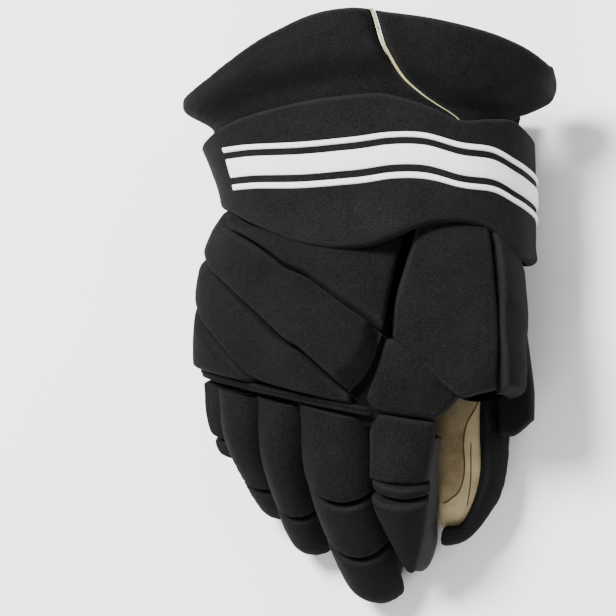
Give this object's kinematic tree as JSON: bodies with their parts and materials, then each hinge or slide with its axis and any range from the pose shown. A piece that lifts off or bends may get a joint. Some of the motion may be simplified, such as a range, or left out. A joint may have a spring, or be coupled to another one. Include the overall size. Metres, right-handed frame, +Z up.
{
  "type": "ice hockey glove",
  "caption": "Padded ice hockey glove for the right hand, palm down, with a flared cuff, a wide wrist band, foam pads on back, fingers and thumb, and a leather palm.",
  "frame": {"origin": "middle of the bounding box's base, on the plane that the glove lies on", "axes": "+Z up, from the palm to the back of the hand; +Y from the fingers to the cuff's mouth; +X to the thumb"},
  "size_m": [0.2036, 0.315, 0.1168],
  "materials": {
    "cloth": "matte woven nylon over foam",
    "band": "matte fine-woven nylon",
    "leather": "suede-like synthetic leather",
    "cream": "smooth cream leather",
    "trim": "raw pale webbing"
  },
  "bodies": {
    "root": {"hand_back": "cloth", "palm": "leather", "back_pad_a": "cloth", "back_pad_b": "cloth", "back_pad_c": "cloth", "back_pad_d": "cloth", "index_knuckle_pad": "cloth", "knuckle_welt": "cloth", "pinky_stall": "leather", "ring_stall": "leather", "middle_stall": "leather", "index_stall": "leather", "pinky_pad_1": "cloth", "pinky_pad_2": "cloth", "ring_pad_1": "cloth", "ring_pad_2": "cloth", "middle_pad_1": "cloth", "middle_pad_2": "cloth", "middle_pad_3": "cloth", "index_pad_1": "cloth", "index_roll": "cloth", "index_pad_2": "cloth", "pinky_side_pad_1": "cloth", "pinky_side_pad_2": "cloth", "thumb_base": "cloth", "thumb_stall": "cream", "thumb_top_pad": "cloth", "thumb_side_pad": "cloth", "thumb_outer_lobe": "cloth", "thumb_rim_pad": "cloth", "wrist_shell": "cloth", "wrist_band": "band", "cuff_back": "cloth", "cuff_thumb": "cloth", "cuff_seam_trim": "trim", "cuff_palm": "cloth"}
  },
  "joints": []
}
